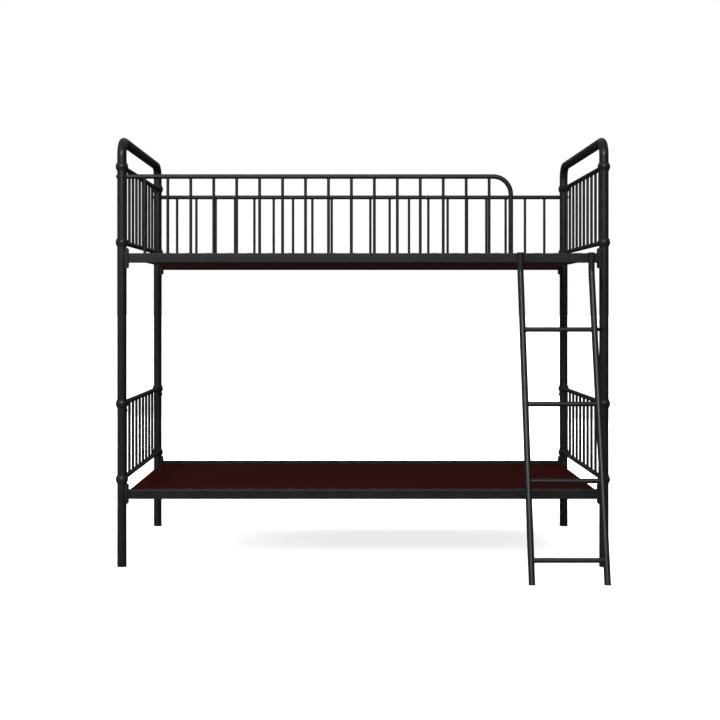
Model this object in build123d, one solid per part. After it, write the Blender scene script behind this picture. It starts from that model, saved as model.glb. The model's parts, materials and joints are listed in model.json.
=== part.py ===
from build123d import *
import math
import os

# A steel bunk bed for two single mattresses, one above the other, with a ladder that hooks on.
#
# Millimetres. X runs along the bed, the ladder side is -Y, +Z is up and the floor is Z = 0.
# The parts are drawn with the front posts on Y = 0 and the middle of the bed on X = 0. They are
# then moved along Y, so that the origin lies under the middle of the whole object, ladder included.

# ---- Bed ends: round posts, each upper pair joined over the top as one bent tube
BED_LENGTH = 1943.0
BED_DEPTH = 1016.0
POST_D = 38.0
POST_WALL = 1.2
HOOP_TOP_Z = 1716.5
HOOP_BEND_R = 60.0
SPLIT_Z = 657.0

# ---- Ball collars, and the cross bars and spindles of the four end panels
BALL_D = 50.5
COLLAR_D = 39.6
COLLAR_H = 35.0
BAR_D = 19.0
BAR_WALL = 1.2
LOWER_BAR_Z = (352.0, 657.0)
UPPER_BAR_Z = (1306.5, 1611.5)
SPINDLE_D = 12.0
SPINDLE_WALL = 1.0
SPINDLE_COUNT = 10

# ---- Side rails: box section, welded to a saddle at each end that is bolted to the post
RAIL_H = 38.5
RAIL_T = 25.0
RAIL_WALL = 1.5
RAIL_CORNER_R = 3.0
LOWER_RAIL_Z = 273.0
UPPER_RAIL_Z = 1224.5
SADDLE_H = 82.0
SADDLE_W = 38.0
SADDLE_INNER = 14.0
SADDLE_OUTER = 25.5
SADDLE_ROUND_R = 7.0
SADDLE_BOLT_OFFSET = 29.5

# ---- Decks: a panel for each mattress, carried by strap hangers that hook over the rails
DECK_T = 15.0
DECK_ABOVE_RAIL_FOOT = 8.0
DECK_END_GAP = 14.5
DECK_SIDE_GAP = 0.5
DECK_CORNER_R = 30.0
DECK_BEVEL_L = 52.0
DECK_TIP_T = 5.0
HANGER_PITCH = 82.8
HANGER_COUNT = 22
HANGER_W = 27.0
HANGER_T = 1.5
HANGER_TOP_START = 7.0
HANGER_FOOT_REACH = 34.0

# ---- Guards of the upper bed: a tube over balusters that stand on the rail
GUARD_Z = 1572.0
GUARD_PITCH = BED_LENGTH / 21
FRONT_BALUSTERS = 16
BACK_BALUSTERS = 20
GUARD_END_X = 596.1
GUARD_BEND_R = 71.0

# ---- Ladder: leaning stiles that turn upright against the upper rail and hook over it
LADDER_X = 774.5
STILE_SPACING = 285.0
STILE_D = 25.4
STILE_WALL = 1.5
STILE_TOP_Y = -26.0
STILE_BEND_Z = 1184.0
STILE_BEND_R = 120.0
LEAN = 0.285
RUNG_D = 19.0
RUNG_WALL = 1.2
RUNG_LOW_Z = 88.0
RUNG_STEP_Z = 289.6
RUNG_COUNT = 4
HOOK_W = 20.0
HOOK_T = 2.0
HOOK_LIFT = 0.3
HOOK_DROP = 10.0
HOOK_BEND_R = 1.6
BUMPER_L = 22.0
BUMPER_D = 18.0
BUMPER_WAIST_D = 11.0

# ---- Feet
FOOT_D = 39.2
FOOT_H = 5.0
FOOT_ROUND_R = 2.5
FOOT_PLUG_H = 20.0
LADDER_FOOT_D = 26.4
LADDER_FOOT_ROUND_R = 1.5

# ---- M6 fasteners and the sleeves inside the posts
SHANK_D = 6.0
HEAD_ROUNDING = 0.6
HOLE_D = 6.6
NUT_BORE_D = 6.2
NUT_R = 5.8
NUT_H = 5.0
KEY_R = 2.3
RAIL_HEAD_D = 11.0
RAIL_HEAD_H = 3.6
COUNTERBORE_D = 12.0
COUNTERBORE_DEPTH = 4.2
POST_HEAD_D = 15.0
POST_HEAD_H = 4.8
POST_BOLT_Z = 630.5
GUARD_HEAD_D = 14.0
GUARD_HEAD_H = 5.4
HEAD_SEAT = 17.6
SLEEVE_D = 35.2
SLEEVE_WALL = 1.6
SLEEVE_REACH = 60.0
INSERT_L = 25.0

ON_BASE = (Align.CENTER, Align.CENTER, Align.MIN)
ON_LID = (Align.CENTER, Align.CENTER, Align.MAX)

# Post centre lines by side and by end of the bed's depth, and the way inwards from each.
SIDES = {"left": -BED_LENGTH / 2, "right": BED_LENGTH / 2}
FACES = {"front": 0.0, "back": BED_DEPTH}
INWARD_X = {"left": 1, "right": -1}
INWARD_Y = {"front": 1, "back": -1}
RAILS = {"lower": LOWER_RAIL_Z, "upper": UPPER_RAIL_Z}

GUARD_BASE_Z = UPPER_RAIL_Z + RAIL_H
STILE_TOP_Z = GUARD_BASE_Z + HOOK_LIFT
STILE_X = {"left": LADDER_X - STILE_SPACING / 2, "right": LADDER_X + STILE_SPACING / 2}

nodes = {}


# ---------------------------------------------------------------- shapes used throughout
def rod(start, end, diameter):
    """A solid round bar from one point to another."""
    base = Vector(*start)
    run = Vector(*end) - base
    return Plane(origin=base, z_dir=run) * Cylinder(diameter / 2, run.length, align=ON_BASE)


def tube(start, end, diameter, wall):
    """A hollow round bar from one point to another."""
    return rod(start, end, diameter) - rod(start, end, diameter - 2 * wall)


def bent_rod(points, bend_r, diameter):
    """A solid round bar through the points, bent on one radius at each corner."""
    path = FilletPolyline(*points, radius=bend_r)
    section = Plane(origin=path @ 0, z_dir=path % 0) * Circle(diameter / 2)
    return sweep(section, path=path)


def bent_tube(points, bend_r, diameter, wall):
    """A hollow bar through the points, bent on one radius at each corner."""
    return bent_rod(points, bend_r, diameter) - bent_rod(points, bend_r, diameter - 2 * wall)


def block(x_pair, y_pair, z_pair):
    """A box between two values on each axis, given in either order."""
    lows = [min(pair) for pair in (x_pair, y_pair, z_pair)]
    sizes = [abs(pair[1] - pair[0]) for pair in (x_pair, y_pair, z_pair)]
    return Pos(*lows) * Box(*sizes, align=(Align.MIN, Align.MIN, Align.MIN))


def bolt(head_d, head_h, shank_l):
    """A round-headed bolt on the Z axis, its head above Z = 0 and its shank below."""
    head = Cylinder(head_d / 2, head_h, align=ON_BASE)
    head = fillet(head.edges().group_by(Axis.Z)[-1], HEAD_ROUNDING * head_h)
    key = Pos(0, 0, head_h / 2) * extrude(RegularPolygon(KEY_R, 6), head_h)
    return head - key + Cylinder(SHANK_D / 2, shank_l, align=ON_LID)


def nut():
    """A hexagon nut that stands on Z = 0."""
    return extrude(RegularPolygon(NUT_R, 6), NUT_H) - Cylinder(NUT_BORE_D / 2, 4 * NUT_H)


def post_line(side, face):
    """A solid as thick as a post, along the whole height of one corner of the bed."""
    x = SIDES[side]
    y = FACES[face]
    return rod((x, y, -POST_D), (x, y, HOOP_TOP_Z + POST_D), POST_D)


def bar_line(side, z):
    """A solid as thick as a cross bar, from post centre to post centre."""
    x = SIDES[side]
    return rod((x, 0, z), (x, BED_DEPTH, z), BAR_D)


def inner_hole(side, face, z):
    """The drill that opens the wall of a post on the side facing the middle of the bed."""
    x = SIDES[side]
    y = FACES[face]
    return rod((x, y, z), (x + INWARD_X[side] * POST_D, y, z), HOLE_D)


def shank_room(side, face, z):
    """The drill that opens both walls of a post along X."""
    x = SIDES[side]
    y = FACES[face]
    return rod((x - POST_D, y, z), (x + POST_D, y, z), HOLE_D)


def corners():
    """Each corner of the bed as its side and face."""
    return [(side, face) for side in SIDES for face in FACES]


def saddle_heights(level):
    """The two heights at which a rail's saddle is bolted to its post."""
    middle = RAILS[level] + RAIL_H / 2
    return (middle - SADDLE_BOLT_OFFSET, middle + SADDLE_BOLT_OFFSET)


# ---------------------------------------------------------------- bed ends
def lower_post(side, face):
    """The lower bed's post, drilled for its rail's bolts and for the sleeve's bolt."""
    x = SIDES[side]
    y = FACES[face]
    post = tube((x, y, FOOT_H), (x, y, SPLIT_Z), POST_D, POST_WALL)
    for z in (*saddle_heights("lower"), POST_BOLT_Z):
        post -= inner_hole(side, face, z)
    return post


def guard_bolt_corners():
    """The corners whose post carries the end of a guard tube."""
    return [("left", "front"), ("left", "back"), ("right", "back")]


def hoop(side):
    """The upper bed's two posts at one end, bent from a single tube that crosses over the top."""
    x = SIDES[side]
    points = [(x, 0, SPLIT_Z), (x, 0, HOOP_TOP_Z), (x, BED_DEPTH, HOOP_TOP_Z), (x, BED_DEPTH, SPLIT_Z)]
    shape = bent_tube(points, HOOP_BEND_R, POST_D, POST_WALL)
    for face in FACES:
        for z in saddle_heights("upper"):
            shape -= inner_hole(side, face, z)
        if (side, face) in guard_bolt_corners():
            shape -= shank_room(side, face, GUARD_Z)
    return shape


def sleeve(side, face):
    """The tube inside a post that joins its lower and upper lengths."""
    x = SIDES[side]
    y = FACES[face]
    shape = tube((x, y, SPLIT_Z - SLEEVE_REACH), (x, y, SPLIT_Z + SLEEVE_REACH), SLEEVE_D, SLEEVE_WALL)
    return shape - inner_hole(side, face, POST_BOLT_Z)


def ball_collar(side, face, z):
    """A ball round a post, with a socket for the cross bar that enters it."""
    x = SIDES[side]
    y = FACES[face]
    ball = Pos(x, y, z) * (Sphere(BALL_D / 2) + Cylinder(COLLAR_D / 2, COLLAR_H))
    return ball - post_line(side, face) - bar_line(side, z)


def cross_bar(side, z):
    """A tube across one end of the bed, shaped to fit against both posts."""
    x = SIDES[side]
    bar = tube((x, 0, z), (x, BED_DEPTH, z), BAR_D, BAR_WALL)
    return bar - post_line(side, "front") - post_line(side, "back")


def spindles(side, bar_heights):
    """The upright tubes between two cross bars, evenly spaced between the posts."""
    x = SIDES[side]
    low, high = bar_heights
    pitch = BED_DEPTH / (SPINDLE_COUNT + 1)
    shapes = []
    for step in range(1, SPINDLE_COUNT + 1):
        y = pitch * step
        upright = tube((x, y, low), (x, y, high), SPINDLE_D, SPINDLE_WALL)
        shapes.append(upright - bar_line(side, low) - bar_line(side, high))
    return shapes


def post_foot(side, face):
    """A plastic cap under a post, with a ring that grips inside the tube."""
    disc = Cylinder(FOOT_D / 2, FOOT_H, align=ON_BASE)
    disc = fillet(disc.edges().group_by(Axis.Z)[0], FOOT_ROUND_R)
    inside_d = POST_D - 2 * POST_WALL
    ring = Cylinder(inside_d / 2, FOOT_PLUG_H, align=ON_BASE)
    ring -= Cylinder(inside_d / 2 - 2 * POST_WALL, 3 * FOOT_PLUG_H)
    return Pos(SIDES[side], FACES[face], 0) * (disc + Pos(0, 0, FOOT_H) * ring)


def post_bolt(side, face):
    """The domed bolt that holds a lower post to its sleeve, with its head towards the bed."""
    inward = INWARD_X[side]
    seat = (SIDES[side] + inward * HEAD_SEAT, FACES[face], POST_BOLT_Z)
    shape = Plane(origin=seat, z_dir=(inward, 0, 0)) * bolt(POST_HEAD_D, POST_HEAD_H, HEAD_SEAT / 2)
    return shape - (post_line(side, face) - shank_room(side, face, POST_BOLT_Z))


def post_nut(side, face):
    """The nut welded inside a sleeve."""
    inward = INWARD_X[side]
    depth = math.sqrt((SLEEVE_D / 2 - SLEEVE_WALL) ** 2 - NUT_R**2)
    seat = (SIDES[side] + inward * (depth - NUT_H), FACES[face], POST_BOLT_Z)
    return Plane(origin=seat, z_dir=(inward, 0, 0)) * nut()


# ---------------------------------------------------------------- side rails and decks
def side_rail(face, level):
    """A box-section rail between two saddles."""
    section = RectangleRounded(RAIL_T, RAIL_H, RAIL_CORNER_R)
    hollow = RectangleRounded(RAIL_T - 2 * RAIL_WALL, RAIL_H - 2 * RAIL_WALL, RAIL_WALL)
    reach = BED_LENGTH / 2 - SADDLE_OUTER
    middle = RAILS[level] + RAIL_H / 2
    start = Plane(origin=(-reach, FACES[face], middle), x_dir=(0, 1, 0), z_dir=(1, 0, 0))
    return extrude(start * (section - hollow), 2 * reach)


def saddle(side, face, level):
    """The rail's end plate: a thick plate hollowed to fit the post, counterbored for two bolts."""
    x = SIDES[side]
    y = FACES[face]
    inward = INWARD_X[side]
    middle = RAILS[level] + RAIL_H / 2
    inner = x + inward * SADDLE_INNER
    outer = x + inward * SADDLE_OUTER
    width = (y - SADDLE_W / 2, y + SADDLE_W / 2)
    height = (middle - SADDLE_H / 2, middle + SADDLE_H / 2)
    plate = block((inner, outer), width, height)
    far_edges = plate.edges().filter_by(Axis.Y).sort_by_distance((outer, y, middle))[:2]
    plate = fillet(far_edges, SADDLE_ROUND_R)
    plate -= post_line(side, face)
    floor_x = outer - inward * COUNTERBORE_DEPTH
    for z in saddle_heights(level):
        plate -= inner_hole(side, face, z)
        plate -= rod((floor_x, y, z), (outer + inward * POST_D, y, z), COUNTERBORE_D)
    return plate


def rail_bolt(side, face, z):
    """A bolt whose head is sunk in a saddle and whose shank enters the post."""
    inward = INWARD_X[side]
    seat_x = SIDES[side] + inward * (SADDLE_OUTER - COUNTERBORE_DEPTH)
    length = SADDLE_OUTER - COUNTERBORE_DEPTH - POST_D / 4
    shape = bolt(RAIL_HEAD_D, RAIL_HEAD_H, length)
    return Plane(origin=(seat_x, FACES[face], z), z_dir=(inward, 0, 0)) * shape


def rail_nut(side, face, z):
    """The nut fixed inside a post behind a saddle's bolt."""
    inward = INWARD_X[side]
    depth = math.sqrt((POST_D / 2 - POST_WALL) ** 2 - NUT_R**2)
    seat = (SIDES[side] + inward * (depth - NUT_H), FACES[face], z)
    return Plane(origin=seat, z_dir=(inward, 0, 0)) * nut()


def deck(level):
    """The panel under a mattress. Its ends reach between the posts and are bevelled underneath."""
    reach = BED_LENGTH / 2 - DECK_END_GAP
    edge = RAIL_T / 2 + HANGER_T + DECK_SIDE_GAP
    base = RAILS[level] + DECK_ABOVE_RAIL_FOOT
    panel = block((-reach, reach), (edge, BED_DEPTH - edge), (base, base + DECK_T))
    panel = fillet(panel.edges().filter_by(Axis.Z), DECK_CORNER_R)
    for inward in INWARD_X.values():
        tip = -inward * reach
        top = base + DECK_T - DECK_TIP_T
        wedge = Polygon((tip, base), (tip, top), (tip + inward * DECK_BEVEL_L, base), align=None)
        panel -= extrude(Plane.XZ * wedge, BED_DEPTH, both=True)
    return panel


def hanger(x, face, level):
    """A strap that hooks over a rail and turns in under the edge of the deck."""
    inward = INWARD_Y[face]
    top = RAILS[level] + RAIL_H
    foot = RAILS[level] + DECK_ABOVE_RAIL_FOOT - HANGER_T
    width = (x - HANGER_W / 2, x + HANGER_W / 2)
    rail_side = FACES[face] + inward * RAIL_T / 2
    free_side = rail_side + inward * HANGER_T
    over = block(width, (FACES[face] + inward * HANGER_TOP_START, free_side), (top, top + HANGER_T))
    down = block(width, (rail_side, free_side), (foot, top + HANGER_T))
    under = block(width, (rail_side, FACES[face] + inward * HANGER_FOOT_REACH), (foot, foot + HANGER_T))
    return over + down + under


def hangers(level):
    """The hangers along both rails of a bed, left out where a ladder hook needs the rail."""
    shapes = []
    for face in FACES:
        for step in range(HANGER_COUNT):
            x = (step - (HANGER_COUNT - 1) / 2) * HANGER_PITCH
            near_hook = any(abs(x - stile_x) < (HANGER_W + HOOK_W) / 2 for stile_x in STILE_X.values())
            if level == "upper" and face == "front" and near_hook:
                continue
            shapes.append(hanger(x, face, level))
    return shapes


# ---------------------------------------------------------------- guards of the upper bed
def front_guard_tube():
    """The front guard's top tube, bent down to the rail where the way in begins."""
    points = [(SIDES["left"], 0, GUARD_Z), (GUARD_END_X, 0, GUARD_Z), (GUARD_END_X, 0, GUARD_BASE_Z)]
    return bent_tube(points, GUARD_BEND_R, BAR_D, BAR_WALL) - post_line("left", "front")


def back_guard_tube():
    """The back guard's top tube, from post to post."""
    shape = tube((SIDES["left"], BED_DEPTH, GUARD_Z), (SIDES["right"], BED_DEPTH, GUARD_Z), BAR_D, BAR_WALL)
    return shape - post_line("left", "back") - post_line("right", "back")


def balusters(face, count):
    """The upright tubes of a guard, counted from the left post."""
    y = FACES[face]
    over = rod((SIDES["left"], y, GUARD_Z), (SIDES["right"], y, GUARD_Z), BAR_D)
    shapes = []
    for step in range(1, count + 1):
        x = SIDES["left"] + GUARD_PITCH * step
        shapes.append(tube((x, y, GUARD_BASE_Z), (x, y, GUARD_Z), SPINDLE_D, SPINDLE_WALL) - over)
    return shapes


def guard_bolt(side, face):
    """The bolt through a post into the end of a guard tube, with its domed head outside."""
    inward = INWARD_X[side]
    seat = (SIDES[side] - inward * HEAD_SEAT, FACES[face], GUARD_Z)
    shank_l = HEAD_SEAT + POST_D / 2 + INSERT_L
    shape = Plane(origin=seat, z_dir=(-inward, 0, 0)) * bolt(GUARD_HEAD_D, GUARD_HEAD_H, shank_l)
    return shape - (post_line(side, face) - shank_room(side, face, GUARD_Z))


def guard_insert(side, face):
    """The threaded plug inside the end of a guard tube."""
    inward = INWARD_X[side]
    y = FACES[face]
    near = (SIDES[side] + inward * (POST_D / 2 + POST_WALL), y, GUARD_Z)
    far = (near[0] + inward * INSERT_L, y, GUARD_Z)
    return rod(near, far, BAR_D - 2 * BAR_WALL) - rod(near, far, NUT_BORE_D)


# ---------------------------------------------------------------- ladder
def stile_y(z):
    """Where the leaning part of a stile's centre line is at a given height."""
    return STILE_TOP_Y - LEAN * (STILE_BEND_Z - z)


def stile_points(side):
    """The corners of a stile's centre line, from its top to a point under the floor."""
    x = STILE_X[side]
    top = (x, STILE_TOP_Y, STILE_TOP_Z)
    bend = (x, STILE_TOP_Y, STILE_BEND_Z)
    return [top, bend, (x, stile_y(-STILE_D), -STILE_D)]


def layer(side, low_z, high_z):
    """A level slab round a stile's foot, between two heights."""
    x = STILE_X[side]
    y = stile_y(0)
    return block((x - STILE_D, x + STILE_D), (y - 2 * STILE_D, y + 2 * STILE_D), (low_z, high_z))


def stile(side):
    """One side of the ladder, cut level above its end cap."""
    shape = bent_tube(stile_points(side), STILE_BEND_R, STILE_D, STILE_WALL)
    return shape - layer(side, -2 * STILE_D, FOOT_H)


def rungs():
    """The ladder's treads, shaped to fit against both stiles."""
    stiles = [bent_rod(stile_points(side), STILE_BEND_R, STILE_D) for side in STILE_X]
    shapes = []
    for step in range(RUNG_COUNT):
        z = RUNG_LOW_Z + RUNG_STEP_Z * step
        y = stile_y(z)
        rung = tube((STILE_X["left"], y, z), (STILE_X["right"], y, z), RUNG_D, RUNG_WALL)
        shapes.append(rung - stiles[0] - stiles[1])
    return shapes


def ladder_hook(side):
    """A strap that closes a stile's top end, crosses over the rail and turns down behind it."""
    width = (STILE_X[side] - HOOK_W / 2, STILE_X[side] + HOOK_W / 2)
    back = RAIL_T / 2 + HOOK_LIFT
    over = block(width, (STILE_TOP_Y, back + HOOK_T), (STILE_TOP_Z, STILE_TOP_Z + HOOK_T))
    down = block(width, (back, back + HOOK_T), (STILE_TOP_Z - HOOK_DROP, STILE_TOP_Z + HOOK_T))
    strap = over + down
    bend = (STILE_X[side], back + HOOK_T, STILE_TOP_Z + HOOK_T)
    corner = strap.edges().filter_by(Axis.X).sort_by_distance(bend)[0]
    lid = Pos(STILE_X[side], STILE_TOP_Y, STILE_TOP_Z) * Cylinder(STILE_D / 2, HOOK_T, align=ON_BASE)
    return fillet(corner, HOOK_BEND_R) + lid


def ladder_foot(side):
    """The plastic cap on a stile's foot, with a plug that grips inside the tube."""
    x = STILE_X[side]
    below = (x, stile_y(-FOOT_PLUG_H), -FOOT_PLUG_H)
    above = (x, stile_y(2 * FOOT_PLUG_H), 2 * FOOT_PLUG_H)
    cap = rod(below, above, LADDER_FOOT_D) & layer(side, 0, FOOT_H)
    cap = fillet(cap.edges().group_by(Axis.Z)[0], LADDER_FOOT_ROUND_R)
    plug = rod(below, above, STILE_D - 2 * STILE_WALL) & layer(side, FOOT_H, FOOT_H + FOOT_PLUG_H)
    return cap + plug


def bumper():
    """The waisted rubber stop on the outside of the right stile, level with the top rung."""
    z = RUNG_LOW_Z + RUNG_STEP_Z * (RUNG_COUNT - 1)
    y = stile_y(z)
    start = STILE_X["right"]
    end = start + STILE_D / 2 + BUMPER_L
    half = BUMPER_L / 2
    waist_bulge = BUMPER_L / 4
    profile = [
        Line((0, 0), (0, BUMPER_D / 2)),
        Line((0, BUMPER_D / 2), (STILE_D / 2, BUMPER_D / 2)),
        ThreePointArc(
            (STILE_D / 2, BUMPER_D / 2),
            (STILE_D / 2 + half, BUMPER_WAIST_D / 2),
            (end - start, BUMPER_D / 2),
        ),
        Line((end - start, BUMPER_D / 2), (end - start, 0)),
        Line((end - start, 0), (0, 0)),
    ]
    turned = revolve(make_face(profile), Axis.X)
    return Pos(start, y, z) * turned - bent_rod(stile_points("right"), STILE_BEND_R, STILE_D)


# ---------------------------------------------------------------- the whole bed
def add_ends():
    """Posts, hoops, collars, bars and spindles of both ends."""
    for side, face in corners():
        nodes[f"{side}_{face}_post"] = [lower_post(side, face)]
    for side in SIDES:
        nodes[f"{side}_hoop"] = [hoop(side)]
        heights = LOWER_BAR_Z + UPPER_BAR_Z
        nodes[f"{side}_ball_collars"] = [ball_collar(side, face, z) for face in FACES for z in heights]
        for name, z in zip(("foot", "low", "middle", "top"), heights):
            nodes[f"{side}_{name}_cross_bar"] = [cross_bar(side, z)]
        nodes[f"{side}_lower_spindles"] = spindles(side, LOWER_BAR_Z)
        nodes[f"{side}_upper_spindles"] = spindles(side, UPPER_BAR_Z)
        nodes[f"{side}_post_sleeves"] = [sleeve(side, face) for face in FACES]
    nodes["post_feet"] = [post_foot(side, face) for side, face in corners()]
    nodes["post_bolts"] = [post_bolt(side, face) for side, face in corners()]
    nodes["post_nuts"] = [post_nut(side, face) for side, face in corners()]


def add_beds():
    """Rails, saddles, decks, hangers and the rails' fasteners."""
    for level in RAILS:
        for face in FACES:
            nodes[f"{level}_{face}_rail"] = [side_rail(face, level)]
        nodes[f"{level}_rail_saddles"] = [saddle(side, face, level) for side, face in corners()]
        nodes[f"{level}_deck"] = [deck(level)]
        nodes[f"{level}_deck_hangers"] = hangers(level)
        places = [(side, face, z) for side, face in corners() for z in saddle_heights(level)]
        nodes[f"{level}_rail_bolts"] = [rail_bolt(*place) for place in places]
        nodes[f"{level}_rail_nuts"] = [rail_nut(*place) for place in places]


def add_guards():
    """Both guards of the upper bed, with their bolts and plugs."""
    nodes["front_guard_tube"] = [front_guard_tube()]
    nodes["front_guard_balusters"] = balusters("front", FRONT_BALUSTERS)
    nodes["back_guard_tube"] = [back_guard_tube()]
    nodes["back_guard_balusters"] = balusters("back", BACK_BALUSTERS)
    nodes["guard_bolts"] = [guard_bolt(*corner) for corner in guard_bolt_corners()]
    nodes["guard_inserts"] = [guard_insert(*corner) for corner in guard_bolt_corners()]


def add_ladder():
    """The ladder and all that lifts off with it."""
    for side in STILE_X:
        nodes[f"ladder_{side}_stile"] = [stile(side)]
    nodes["ladder_rungs"] = rungs()
    nodes["ladder_hooks"] = [ladder_hook(side) for side in STILE_X]
    nodes["ladder_feet"] = [ladder_foot(side) for side in STILE_X]
    nodes["ladder_bumper"] = [bumper()]


def middle_shift():
    """The move along Y that puts the middle of the whole depth on the origin."""
    lean_angle = math.atan(LEAN)
    front = stile_y(0) - LADDER_FOOT_D / 2 / math.cos(lean_angle)
    back = BED_DEPTH + BALL_D / 2
    return -(front + back) / 2


add_ends()
add_beds()
add_guards()
add_ladder()

os.makedirs("parts", exist_ok=True)
shift = Pos(0, middle_shift(), 0)
for name, pieces in nodes.items():
    solids = [solid for piece in pieces for solid in (shift * piece).solids()]
    export_step(Compound(label=name, children=solids), f"parts/{name}.step")
print(f"{len(nodes)} sub-parts, moved {middle_shift():.3f} mm along Y")
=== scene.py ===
import json
import math
import random

import bmesh
import bpy
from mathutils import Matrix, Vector


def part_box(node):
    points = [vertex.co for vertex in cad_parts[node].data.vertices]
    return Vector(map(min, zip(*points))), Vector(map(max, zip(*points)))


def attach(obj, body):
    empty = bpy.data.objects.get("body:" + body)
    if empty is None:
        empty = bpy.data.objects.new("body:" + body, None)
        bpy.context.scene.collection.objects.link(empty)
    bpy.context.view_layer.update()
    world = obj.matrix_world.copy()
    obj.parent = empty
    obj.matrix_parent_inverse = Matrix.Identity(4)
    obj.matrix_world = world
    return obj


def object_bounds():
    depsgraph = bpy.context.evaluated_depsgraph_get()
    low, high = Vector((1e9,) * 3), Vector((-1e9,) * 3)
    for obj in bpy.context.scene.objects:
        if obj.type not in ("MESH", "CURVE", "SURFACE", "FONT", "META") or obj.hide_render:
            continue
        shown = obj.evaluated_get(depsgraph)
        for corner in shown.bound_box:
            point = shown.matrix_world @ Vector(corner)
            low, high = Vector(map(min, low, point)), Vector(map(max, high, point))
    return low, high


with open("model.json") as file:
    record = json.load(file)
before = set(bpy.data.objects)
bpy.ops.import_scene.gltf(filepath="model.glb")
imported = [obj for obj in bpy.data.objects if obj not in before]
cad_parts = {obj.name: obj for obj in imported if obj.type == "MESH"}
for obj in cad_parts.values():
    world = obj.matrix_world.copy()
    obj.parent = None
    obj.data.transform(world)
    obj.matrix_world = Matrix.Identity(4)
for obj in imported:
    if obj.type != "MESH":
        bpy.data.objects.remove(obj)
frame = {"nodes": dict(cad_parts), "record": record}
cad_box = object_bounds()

# A steel bunk bed with a ladder that hooks on. Metres, +Z up, the ladder side is -Y.
# Every CAD node shows, with a procedural finish. The beads of weld at its joints are added here.

# ---- Camera: level, in front of the ladder side, a little left of the bed's middle
CAMERA_DISTANCE = 5.414
CAMERA_SIDE = -0.0567
CAMERA_HEIGHT = 1.040
CAMERA_LENS = 67.15
CAMERA_SHIFT = (0.0155, -0.0715)
SENSOR_WIDTH = 36.0

# ---- Studio
FLOOR_SIZE = 400.0
FLOOR_CELLS = 8
FLOOR_CLEARANCE = 0.0002
FLOOR_DARK = (0.90, 0.90, 0.90)
FLOOR_LIGHT = (0.93, 0.93, 0.93)
FLOOR_SUN = 4.6
FLOOR_SUN_SPREAD = math.radians(75.0)
BACKDROP_LIGHT = 1.0
GROUND_LIGHT = 0.85
SKY_LIGHT = 0.40
HORIZON_SHEEN = 0.012
ZENITH_SHEEN = 0.30

# ---- Colours of the finishes
STEEL_DARK = (0.0095, 0.0095, 0.0096)
STEEL_LIGHT = (0.0125, 0.0125, 0.0126)
FASTENER_COLOUR = (0.016, 0.016, 0.017)
ZINC_DARK = (0.36, 0.37, 0.39)
ZINC_LIGHT = (0.45, 0.46, 0.48)
DECK_DARK = (0.0290, 0.0058, 0.0060)
DECK_LIGHT = (0.0380, 0.0080, 0.0081)
# Painted shade: the board's greyer colours for the faces that look down, standing in for the shade under it.
DECK_UNDERSIDE_SHADE_DARK = (0.0300, 0.0112, 0.0120)
DECK_UNDERSIDE_SHADE_LIGHT = (0.0360, 0.0138, 0.0145)
PLASTIC_DARK = (0.009, 0.009, 0.009)
PLASTIC_LIGHT = (0.016, 0.016, 0.016)
RUBBER_DARK = (0.0020, 0.0020, 0.0020)
RUBBER_LIGHT = (0.0036, 0.0036, 0.0036)

# ---- Patterns that run along the bed, as their fineness along X, Y and Z
GRAIN_STRETCH = (6.0, 160.0, 160.0)
PORE_STRETCH = (45.0, 1500.0, 1500.0)

# ---- Weld beads. Ripples follow each other along a bead, and it swells more slowly WELD_SWELLS times round.
WELD_R = 0.0015
WELD_PITCH = 0.0030
WELD_RIPPLE = 0.13
WELD_SWELL = 0.10
WELD_SWELLS = 3
WELD_STEPS = 4
WELD_SIDES = 6
RAIL_CORNER_R = 0.003
SOLID_GAP = 0.02
ARC_STEPS = 64

X = Vector((1.0, 0.0, 0.0))
Y = Vector((0.0, 1.0, 0.0))
Z = Vector((0.0, 0.0, 1.0))


# ---------------------------------------------------------------- materials


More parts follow.
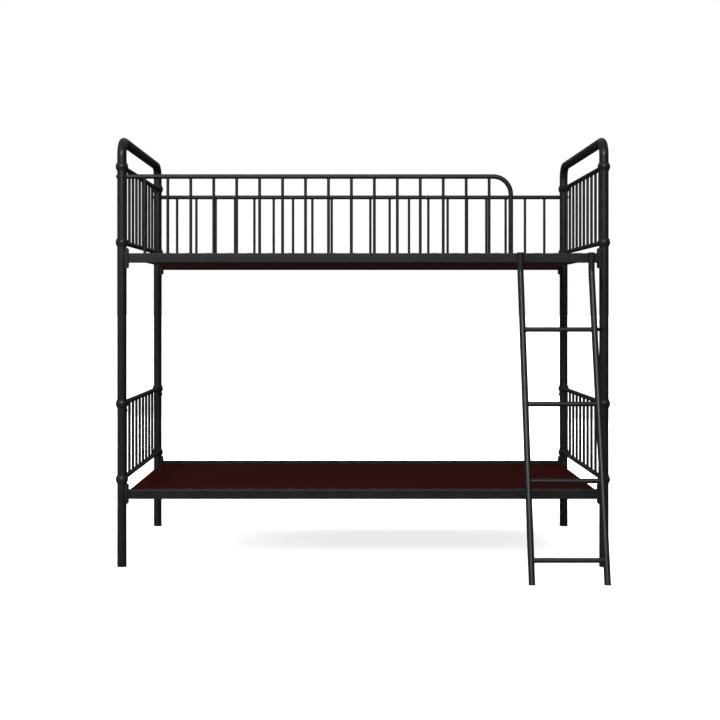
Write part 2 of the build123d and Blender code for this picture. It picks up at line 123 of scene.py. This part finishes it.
class Paint:
    """A Principled material that is built up node by node, in the object's own coordinates."""

    def __init__(self, name):
        self.material = bpy.data.materials.new(name)
        self.material.use_nodes = True
        self.tree = self.material.node_tree
        self.shader = self.tree.nodes["Principled BSDF"]
        self.place = self.node("ShaderNodeTexCoord").outputs["Object"]

    def node(self, kind):
        return self.tree.nodes.new(kind)

    def link(self, output, socket):
        self.tree.links.new(output, socket)

    def set(self, **values):
        """Constants on the shader's own sockets, with _ for the spaces in their names."""
        for socket, value in values.items():
            self.shader.inputs[socket.replace("_", " ")].default_value = value

    def drive(self, **outputs):
        """Patterns into the shader's sockets, with _ for the spaces in their names."""
        for socket, output in outputs.items():
            self.link(output, self.shader.inputs[socket.replace("_", " ")])

    def stretched(self, scale):
        """The object's coordinates, multiplied by scale along X, Y and Z."""
        node = self.node("ShaderNodeMapping")
        node.inputs["Scale"].default_value = scale
        self.link(self.place, node.inputs["Vector"])
        return node.outputs["Vector"]

    def noise(self, scale, detail=2.0, roughness=0.5, stretch=None):
        node = self.node("ShaderNodeTexNoise")
        node.inputs["Scale"].default_value = scale
        node.inputs["Detail"].default_value = detail
        node.inputs["Roughness"].default_value = roughness
        self.link(self.stretched(stretch) if stretch else self.place, node.inputs["Vector"])
        return node.outputs["Fac"]

    def ramp(self, value, *stops):
        """A colour ramp over (position, colour) stops."""
        node = self.node("ShaderNodeValToRGB")
        elements = node.color_ramp.elements
        while len(elements) < len(stops):
            elements.new(0.5)
        for element, (position, colour) in zip(elements, stops):
            element.position = position
            element.color = (*colour, 1.0)
        self.link(value, node.inputs["Fac"])
        return node.outputs["Color"]

    def between(self, value, low, high):
        """A value from 0 to 1 carried to the range from low to high."""
        node = self.node("ShaderNodeMapRange")
        node.inputs["To Min"].default_value = low
        node.inputs["To Max"].default_value = high
        self.link(value, node.inputs["Value"])
        return node.outputs["Result"]

    def upward(self):
        """1 on faces that look up, 0 on faces that look down."""
        parts = self.node("ShaderNodeSeparateXYZ")
        self.link(self.node("ShaderNodeTexCoord").outputs["Normal"], parts.inputs["Vector"])
        node = self.node("ShaderNodeMapRange")
        node.inputs["From Min"].default_value = -1.0
        self.link(parts.outputs["Z"], node.inputs["Value"])
        return node.outputs["Result"]

    def mixed(self, share, first, second):
        """Two colours: the first where the share is 0, the second where it is 1."""
        node = self.node("ShaderNodeMixRGB")
        self.link(share, node.inputs["Fac"])
        self.link(first, node.inputs["Color1"])
        self.link(second, node.inputs["Color2"])
        return node.outputs["Color"]

    def bump(self, height, strength, distance, below=None):
        node = self.node("ShaderNodeBump")
        node.inputs["Strength"].default_value = strength
        node.inputs["Distance"].default_value = distance
        self.link(height, node.inputs["Height"])
        if below is not None:
            self.link(below, node.inputs["Normal"])
        return node.outputs["Normal"]


def powder_coat():
    """Satin black powder coat: an orange-peel skin over fine grit, slightly uneven in gloss."""
    paint = Paint("black_powder_coat")
    cloud = paint.noise(scale=9.0, detail=3.0)
    gloss = paint.noise(scale=35.0, detail=4.0)
    peel = paint.noise(scale=420.0, detail=1.0)
    grit = paint.noise(scale=2600.0, detail=2.0, roughness=0.7)
    skin = paint.bump(peel, strength=0.18, distance=0.0004)
    paint.drive(
        Base_Color=paint.ramp(cloud, (0.35, STEEL_DARK), (0.65, STEEL_LIGHT)),
        Roughness=paint.between(gloss, 0.28, 0.36),
        Normal=paint.bump(grit, strength=0.12, distance=0.0001, below=skin),
    )
    paint.set(Specular_IOR_Level=0.5)
    return paint.material


def black_oxide():
    """Blackened steel, as on screws and nuts."""
    paint = Paint("black_oxide")
    mottle = paint.noise(scale=300.0, detail=4.0)
    gloss = paint.noise(scale=500.0)
    grit = paint.noise(scale=1800.0)
    paint.drive(
        Base_Color=paint.ramp(mottle, (0.3, FASTENER_COLOUR), (0.8, STEEL_LIGHT)),
        Roughness=paint.between(gloss, 0.25, 0.40),
        Normal=paint.bump(grit, strength=0.1, distance=0.0001),
    )
    paint.set(Metallic=0.6)
    return paint.material


def zinc_plate():
    """Bright zinc with a faint spangle, on the pieces inside the tubes."""
    paint = Paint("zinc_plate")
    spangle = paint.noise(scale=220.0, detail=5.0)
    paint.drive(
        Base_Color=paint.ramp(spangle, (0.3, ZINC_DARK), (0.7, ZINC_LIGHT)),
        Roughness=paint.between(spangle, 0.28, 0.45),
    )
    paint.set(Metallic=1.0)
    return paint.material


def maroon_board():
    """A board faced with dark maroon film over faint wood pores that run along the bed, with painted shade
    underneath: a greyer colour on the faces that look down.
    """
    paint = Paint("maroon_board")
    grain = paint.noise(scale=1.0, detail=6.0, roughness=0.6, stretch=GRAIN_STRETCH)
    pores = paint.noise(scale=1.0, detail=3.0, roughness=0.6, stretch=PORE_STRETCH)
    face = paint.ramp(grain, (0.3, DECK_DARK), (0.7, DECK_LIGHT))
    back = paint.ramp(grain, (0.3, DECK_UNDERSIDE_SHADE_DARK), (0.7, DECK_UNDERSIDE_SHADE_LIGHT))
    paint.drive(
        # Painted shade: faces that look down take the greyer underside colours, faces that look up the
        # board's own.
        Base_Color=paint.mixed(paint.upward(), back, face),
        Roughness=paint.between(pores, 0.62, 0.78),
        Normal=paint.bump(pores, strength=0.15, distance=0.0002),
    )
    paint.set(Specular_IOR_Level=0.0)
    return paint.material


def moulded_plastic():
    """Black plastic with a fine moulded grain, on the feet."""
    paint = Paint("moulded_plastic")
    grain = paint.noise(scale=1600.0, detail=2.0)
    paint.drive(
        Base_Color=paint.ramp(grain, (0.2, PLASTIC_DARK), (0.8, PLASTIC_LIGHT)),
        Roughness=paint.between(grain, 0.48, 0.62),
        Normal=paint.bump(grain, strength=0.3, distance=0.0002),
    )
    return paint.material


def soft_rubber():
    """Dull black rubber with a faint bloom."""
    paint = Paint("soft_rubber")
    bloom = paint.noise(scale=90.0, detail=4.0)
    grit = paint.noise(scale=900.0)
    paint.drive(
        Base_Color=paint.ramp(bloom, (0.3, RUBBER_DARK), (0.8, RUBBER_LIGHT)),
        Roughness=paint.between(bloom, 0.62, 0.80),
        Normal=paint.bump(grit, strength=0.2, distance=0.0002),
    )
    paint.set(Specular_IOR_Level=0.15)
    return paint.material


def finish_nodes(finishes):
    """Every CAD node takes the finish of the material slot that the record gives it."""
    for part in frame["record"]["subparts"]:
        materials = frame["nodes"][part["node"]].data.materials
        materials.clear()
        materials.append(finishes[part["material_slot"]])


# ---------------------------------------------------------------- the lines where pieces are welded


def box_of(places):
    """The low and high corners of the box round some places."""
    low = Vector(min(place[axis] for place in places) for axis in range(3))
    high = Vector(max(place[axis] for place in places) for axis in range(3))
    return low, high


def solid_boxes(name, axis):
    """The boxes of a node's solids, which stand in a row along the given axis."""
    vertices = frame["nodes"][name].data.vertices
    places = sorted((vertex.co for vertex in vertices), key=lambda place: place[axis])
    rows = [[places[0]]]
    for place in places[1:]:
        if place[axis] - rows[-1][-1][axis] > SOLID_GAP:
            rows.append([])
        rows[-1].append(place)
    return [box_of(row) for row in rows]


def middle_and_radius(box):
    """The centre of a round bar and its radius, from its box. The bar lies level."""
    low, high = box
    return (low + high) / 2, (high.z - low.z) / 2


def circle(centre, first, second, radius):
    """Points on a circle in the plane of two unit vectors."""
    turns = (math.tau * step / ARC_STEPS for step in range(ARC_STEPS))
    return [centre + (first * math.cos(turn) + second * math.sin(turn)) * radius for turn in turns]


def round_joint(centre, run, branch, run_r, branch_r):
    """The line where a round branch leaves a round bar, whose axes cross at right angles at the centre."""
    across = run.cross(branch)
    line = []
    for point in circle(centre, run, across, branch_r):
        aside = (point - centre).dot(across)
        line.append(point + branch * math.sqrt(run_r**2 - aside**2))
    return line


def rail_joint(x, low, high):
    """The outline of a rail's end, with a quarter of a circle at each corner."""
    middle = (low + high) / 2
    y_reach = (high.y - low.y) / 2 - RAIL_CORNER_R
    z_reach = (high.z - low.z) / 2 - RAIL_CORNER_R
    quarter = ARC_STEPS // 4
    line = []
    for number, (y_way, z_way) in enumerate(((1, 1), (-1, 1), (-1, -1), (1, -1))):
        corner = Vector((x, middle.y + y_way * y_reach, middle.z + z_way * z_reach))
        start = number * quarter
        line += circle(corner, Y, Z, RAIL_CORNER_R)[start : start + quarter]
    return line


def end_joints(side):
    """Spindles between the cross bars of one end."""
    lines = []
    for panel, below, above in (("lower", "foot", "low"), ("upper", "middle", "top")):
        for bar_name, way in ((below, Z), (above, -Z)):
            bar, bar_r = middle_and_radius(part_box(f"{side}_{bar_name}_cross_bar"))
            for low, high in solid_boxes(f"{side}_{panel}_spindles", axis=1):
                centre = Vector((bar.x, (low.y + high.y) / 2, bar.z))
                lines.append(round_joint(centre, Y, way, bar_r, (high.y - low.y) / 2))
    return lines


def guard_joints(face):
    """Balusters between a guard's tube and the rail, and the foot of the front guard's tube."""
    rail_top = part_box(f"upper_{face}_rail")[1].z
    tube_low, tube_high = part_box(f"{face}_guard_tube")
    tube_r = (tube_high.y - tube_low.y) / 2
    lines = []
    for low, high in solid_boxes(f"{face}_guard_balusters", axis=0):
        x = (low.x + high.x) / 2
        y = (low.y + high.y) / 2
        radius = (high.x - low.x) / 2
        lines.append(round_joint(Vector((x, y, tube_high.z - tube_r)), X, -Z, tube_r, radius))
        lines.append(circle(Vector((x, y, rail_top)), X, Y, radius))
    if face == "front":
        foot = Vector((tube_high.x - tube_r, (tube_low.y + tube_high.y) / 2, rail_top))
        lines.append(circle(foot, X, Y, tube_r))
    return lines


def rail_joints():
    """Both ends of every side rail, on the saddles."""
    lines = []
    for level in ("lower", "upper"):
        for face in ("front", "back"):
            low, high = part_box(f"{level}_{face}_rail")
            lines += [rail_joint(x, low, high) for x in (low.x, high.x)]
    return lines


def ladder_joints():
    """Both ends of every rung, on the stiles, which lean along the line of the rungs."""
    rungs = [middle_and_radius(box) for box in solid_boxes("ladder_rungs", axis=2)]
    lean = (rungs[-1][0] - rungs[0][0]).normalized()
    lines = []
    for side, way in (("left", X), ("right", -X)):
        low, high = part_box(f"ladder_{side}_stile")
        stile_x = (low.x + high.x) / 2
        stile_r = (high.x - low.x) / 2
        for middle, rung_r in rungs:
            centre = Vector((stile_x, middle.y, middle.z))
            lines.append(round_joint(centre, lean, way, stile_r, rung_r))
    return lines


# ---------------------------------------------------------------- weld beads


def closed_steps(line):
    """Each point of a closed line with the point after it."""
    return list(zip(line, line[1:] + line[:1]))


def evenly(line, count):
    """A closed line's points moved to equal steps along it."""
    stretches = closed_steps(line)
    lengths = [(end - start).length for start, end in stretches]
    step = sum(lengths) / count
    points = []
    index = 0
    passed = 0.0
    for number in range(count):
        while index < len(line) - 1 and passed + lengths[index] < step * number:
            passed += lengths[index]
            index += 1
        start, end = stretches[index]
        points.append(start.lerp(end, (step * number - passed) / lengths[index]))
    return points


def ring(point, along, out, radius):
    """The places round a bead at one point, starting on the side that faces out."""
    side = along.cross(out)
    angles = (math.tau * corner / WELD_SIDES for corner in range(WELD_SIDES))
    return [point + (out * math.cos(angle) + side * math.sin(angle)) * radius for angle in angles]


def add_bead(mesh, line, dice):
    """A rippled bead of weld along a closed line."""
    length = sum((end - start).length for start, end in closed_steps(line))
    ripples = round(length / WELD_PITCH)
    count = ripples * WELD_STEPS
    points = evenly(line, count)
    centre = sum(points, Vector()) / count
    phase = dice.uniform(0.0, math.tau)
    rings = []
    for number, point in enumerate(points):
        along = (points[(number + 1) % count] - points[number - 1]).normalized()
        out = point - centre
        out = (out - along * out.dot(along)).normalized()
        turn = math.tau * number / count
        swell = WELD_SWELL * math.sin(WELD_SWELLS * turn + phase)
        radius = WELD_R * (1.0 + swell + WELD_RIPPLE * math.sin(turn * ripples))
        rings.append([mesh.verts.new(place) for place in ring(point, along, out, radius)])
    for near, far in closed_steps(rings):
        for corner in range(WELD_SIDES):
            other = (corner + 1) % WELD_SIDES
            mesh.faces.new((near[corner], far[corner], far[other], near[other])).smooth = True


def add_welds(name, body, lines, finish):
    """One piece that holds the beads along all the lines."""
    dice = random.Random(name)
    mesh = bmesh.new()
    for line in lines:
        add_bead(mesh, line, dice)
    bmesh.ops.recalc_face_normals(mesh, faces=mesh.faces)
    data = bpy.data.meshes.new(name)
    mesh.to_mesh(data)
    mesh.free()
    data.materials.append(finish)
    piece = bpy.data.objects.new(name, data)
    bpy.context.scene.collection.objects.link(piece)
    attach(piece, body)


def make_welds(finish):
    for side in ("left", "right"):
        add_welds(f"{side}_end_welds", "bed", end_joints(side), finish)
    for face in ("front", "back"):
        add_welds(f"{face}_guard_welds", "bed", guard_joints(face), finish)
    add_welds("rail_welds", "bed", rail_joints(), finish)
    add_welds("ladder_welds", "ladder", ladder_joints(), finish)


# ---------------------------------------------------------------- studio


def front_line():
    """The plane of the front posts' axes, as a Y value."""
    low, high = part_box("left_front_post")
    return (low.y + high.y) / 2


def make_camera():
    data = bpy.data.cameras.new("camera")
    data.lens = CAMERA_LENS
    data.sensor_width = SENSOR_WIDTH
    data.shift_x, data.shift_y = CAMERA_SHIFT
    camera = bpy.data.objects.new("camera", data)
    camera.location = (CAMERA_SIDE, front_line() - CAMERA_DISTANCE, CAMERA_HEIGHT)
    camera.rotation_euler = (math.radians(90.0), 0.0, 0.0)
    bpy.context.scene.collection.objects.link(camera)
    bpy.context.scene.camera = camera


def make_floor():
    """A pale floor that runs out to the white backdrop. It doesn't light the bed or show in its gloss."""
    bpy.ops.mesh.primitive_grid_add(x_subdivisions=FLOOR_CELLS, y_subdivisions=FLOOR_CELLS, size=FLOOR_SIZE)
    floor = bpy.context.object
    floor.name = "floor"
    floor.location.z = cad_box[0].z - FLOOR_CLEARANCE
    paint = Paint("floor")
    paint.drive(Base_Color=paint.ramp(paint.noise(scale=0.6), (0.3, FLOOR_DARK), (0.7, FLOOR_LIGHT)))
    paint.set(Roughness=0.9, Specular_IOR_Level=0.0)
    floor.data.materials.append(paint.material)
    floor.visible_glossy = False
    floor.visible_diffuse = False
    return floor


def background(tree, strength):
    node = tree.nodes.new("ShaderNodeBackground")
    node.inputs["Color"].default_value = (1.0, 1.0, 1.0, 1.0)
    node.inputs["Strength"].default_value = strength
    return node


def faded_background(tree, height, low, high):
    """A background whose strength goes from one (height, strength) pair to another."""
    fade = tree.nodes.new("ShaderNodeMapRange")
    fade.inputs["From Min"].default_value, fade.inputs["To Min"].default_value = low
    fade.inputs["From Max"].default_value, fade.inputs["To Max"].default_value = high
    tree.links.new(height, fade.inputs["Value"])
    node = background(tree, 0.0)
    tree.links.new(fade.outputs["Result"], node.inputs["Strength"])
    return node


def choice(tree, ray_kind, other, chosen):
    """One shader for one kind of ray, and another for the rest."""
    rays = tree.nodes.new("ShaderNodeLightPath")
    node = tree.nodes.new("ShaderNodeMixShader")
    tree.links.new(rays.outputs[ray_kind], node.inputs["Fac"])
    tree.links.new(other, node.inputs[1])
    tree.links.new(chosen, node.inputs[2])
    return node.outputs["Shader"]


def make_backdrop():
    """A white backdrop, light that is stronger from below, and reflections that fade towards the horizon."""
    world = bpy.data.worlds.new("studio")
    bpy.context.scene.world = world
    world.use_nodes = True
    tree = world.node_tree
    direction = tree.nodes.new("ShaderNodeTexCoord")
    parts = tree.nodes.new("ShaderNodeSeparateXYZ")
    tree.links.new(direction.outputs["Generated"], parts.inputs["Vector"])
    height = parts.outputs["Z"]
    seen = background(tree, BACKDROP_LIGHT)
    even = faded_background(tree, height, (-1.0, GROUND_LIGHT), (1.0, SKY_LIGHT))
    sheen = faded_background(tree, height, (0.0, HORIZON_SHEEN), (1.0, ZENITH_SHEEN))
    lit = choice(tree, "Is Glossy Ray", even.outputs["Background"], sheen.outputs["Background"])
    shown = choice(tree, "Is Camera Ray", lit, seen.outputs["Background"])
    tree.links.new(shown, tree.nodes["World Output"].inputs["Surface"])


def add_light(name, kind, place, target, energy, **settings):
    data = bpy.data.lights.new(name, kind)
    data.energy = energy
    for setting, value in settings.items():
        setattr(data, setting, value)
    lamp = bpy.data.objects.new(name, data)
    lamp.location = place
    lamp.rotation_euler = (Vector(target) - Vector(place)).to_track_quat("-Z", "Y").to_euler()
    bpy.context.scene.collection.objects.link(lamp)
    return lamp


def soft_box(name, place, size, watts, glossy=True):
    """A wide, soft lamp that faces the middle of the bed and stays out of the picture."""
    middle = (cad_box[0] + cad_box[1]) / 2
    lamp = add_light(name, "AREA", place, middle, watts, shape="RECTANGLE", size=size[0], size_y=size[1])
    lamp.visible_glossy = glossy
    lamp.visible_camera = False


def light_floor(floor):
    """Light from above for the floor alone. It casts no shadow, so the other lights' shadows stay faint."""
    above = (0.0, 0.0, 5.0)
    below = (0.0, 0.3, 0.0)
    sun = add_light("floor_sun", "SUN", above, below, FLOOR_SUN, angle=FLOOR_SUN_SPREAD)
    sun.data.use_shadow = False
    group = bpy.data.collections.new("floor_only")
    group.objects.link(floor)
    sun.light_linking.receiver_collection = group


def make_lights():
    front = front_line()
    back = cad_box[1].y
    soft_box("key", (-0.8, front - 8.0, 4.9), size=(6.0, 2.4), watts=350.0)
    soft_box("left_fill", (-5.0, front - 3.4, 2.6), size=(3.0, 2.5), watts=320.0, glossy=False)
    soft_box("low_fill", (-1.0, front - 6.5, 1.0), size=(5.0, 2.5), watts=20.0, glossy=False)
    soft_box("back_fill", (0.6, back + 6.0, 2.2), size=(6.0, 4.0), watts=200.0, glossy=False)
    soft_box("top", (0.0, back + 1.6, 4.2), size=(3.0, 1.2), watts=4.0)


# ---------------------------------------------------------------- the scene

finishes = {
    "black_steel": powder_coat(),
    "black_fastener": black_oxide(),
    "inner_steel": zinc_plate(),
    "deck_board": maroon_board(),
    "black_plastic": moulded_plastic(),
    "black_rubber": soft_rubber(),
}
finish_nodes(finishes)
make_welds(finishes["black_steel"])
make_camera()
make_backdrop()
light_floor(make_floor())
make_lights()
bpy.context.scene.view_settings.view_transform = "Standard"
